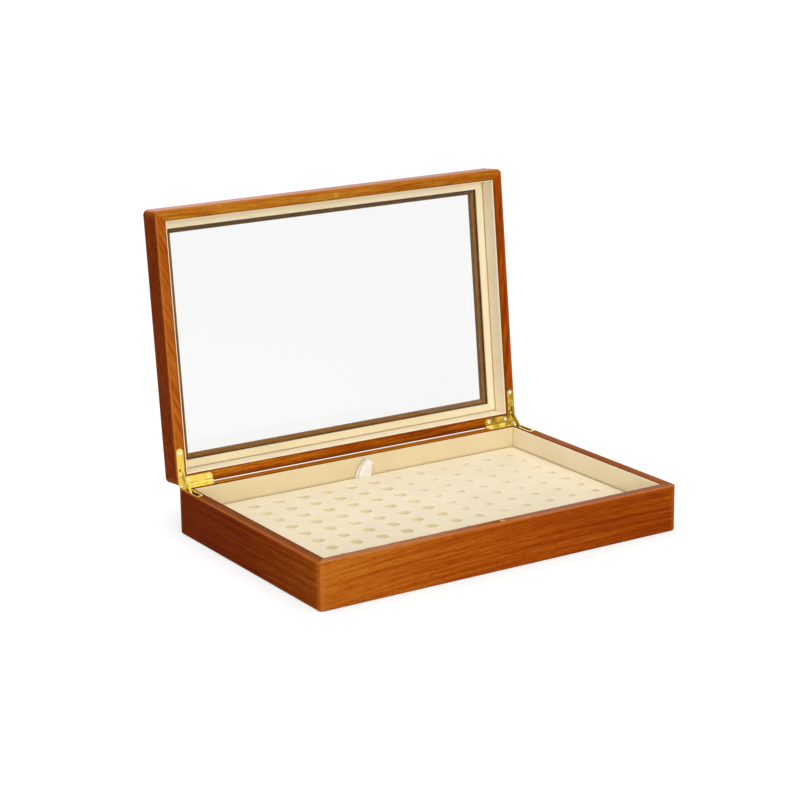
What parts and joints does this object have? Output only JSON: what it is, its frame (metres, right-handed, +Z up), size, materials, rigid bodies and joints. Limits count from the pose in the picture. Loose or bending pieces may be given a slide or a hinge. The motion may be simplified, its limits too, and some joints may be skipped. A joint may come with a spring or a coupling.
{
  "type": "jewellery_box",
  "caption": "Shallow wooden jewellery box with a glazed hinged lid on corner stop hinges, beige linings and a lift-out perforated suede insert with a ribbon pull.",
  "frame": {"origin": "middle of the underside of the base, which stands on the table", "axes": "+X along the width, to the right seen from the front; +Y towards the hinges; +Z up"},
  "size_m": [0.35, 0.2824, 0.274],
  "materials": {
    "wood": "satin lacquer on straight grain",
    "board": "plain thin board",
    "lining": "smooth beige leatherette",
    "suede": "short beige suede nap",
    "ribbon": "white satin",
    "glass": "clear polished",
    "brass": "polished yellow brass",
    "catch": "brass-plated steel"
  },
  "bodies": {
    "base": {"base_front_board": "wood", "base_right_board": "wood", "base_back_board": "wood", "base_left_board": "wood", "base_bottom_panel": "board", "base_floor_lining": "lining", "base_front_lining": "lining", "base_right_lining": "lining", "base_back_lining": "lining", "base_left_lining": "lining", "base_catch_magnet": "catch", "left_hinge_base_leaf": "brass", "left_hinge_pin": "brass", "left_hinge_base_screws": "brass", "right_hinge_base_leaf": "brass", "right_hinge_pin": "brass", "right_hinge_base_screws": "brass"},
    "lid": {"lid_front_wall": "wood", "lid_right_wall": "wood", "lid_back_wall": "wood", "lid_left_wall": "wood", "lid_front_rail": "wood", "lid_right_rail": "wood", "lid_back_rail": "wood", "lid_left_rail": "wood", "lid_glass": "glass", "glass_front_retainer": "lining", "glass_right_retainer": "lining", "glass_back_retainer": "lining", "glass_left_retainer": "lining", "lid_front_lining": "lining", "lid_right_lining": "lining", "lid_back_lining": "lining", "lid_left_lining": "lining", "lid_strike_plate": "catch", "left_hinge_lid_leaf": "brass", "left_hinge_lid_screws": "brass", "left_stay_rivet": "brass", "right_hinge_lid_leaf": "brass", "right_hinge_lid_screws": "brass", "right_stay_rivet": "brass"},
    "insert": {"insert_pad": "suede", "insert_backing_board": "board", "ribbon_pull": "ribbon"},
    "left_stay": {"left_stay_arm": "brass"},
    "right_stay": {"right_stay_arm": "brass"}
  },
  "joints": [
    {"name": "lid_hinge", "type": "hinge", "parent": "base", "child": "lid", "pos_m": [0, 0.1173, 0.0406], "axis": [1, 0, 0], "range_deg": [0, 95.6]},
    {"name": "insert_lift", "type": "slide", "parent": "base", "child": "insert", "axis": [0, 0, 1], "range_m": [0, 0.018]},
    {"name": "left_stay_pivot", "type": "hinge", "parent": "lid", "child": "left_stay", "pos_m": [-0.1703, 0.1166, 0.05092], "axis": [1, 0, 0], "range_deg": [-134.3, 0]},
    {"name": "right_stay_pivot", "type": "hinge", "parent": "lid", "child": "right_stay", "pos_m": [0.1703, 0.1166, 0.05092], "axis": [1, 0, 0], "range_deg": [-134.3, 0]}
  ],
  "couplings": [
    {"joint": "left_stay_pivot", "follows": "lid_hinge", "ratio": -1.4038},
    {"joint": "right_stay_pivot", "follows": "lid_hinge", "ratio": -1.4038}
  ]
}
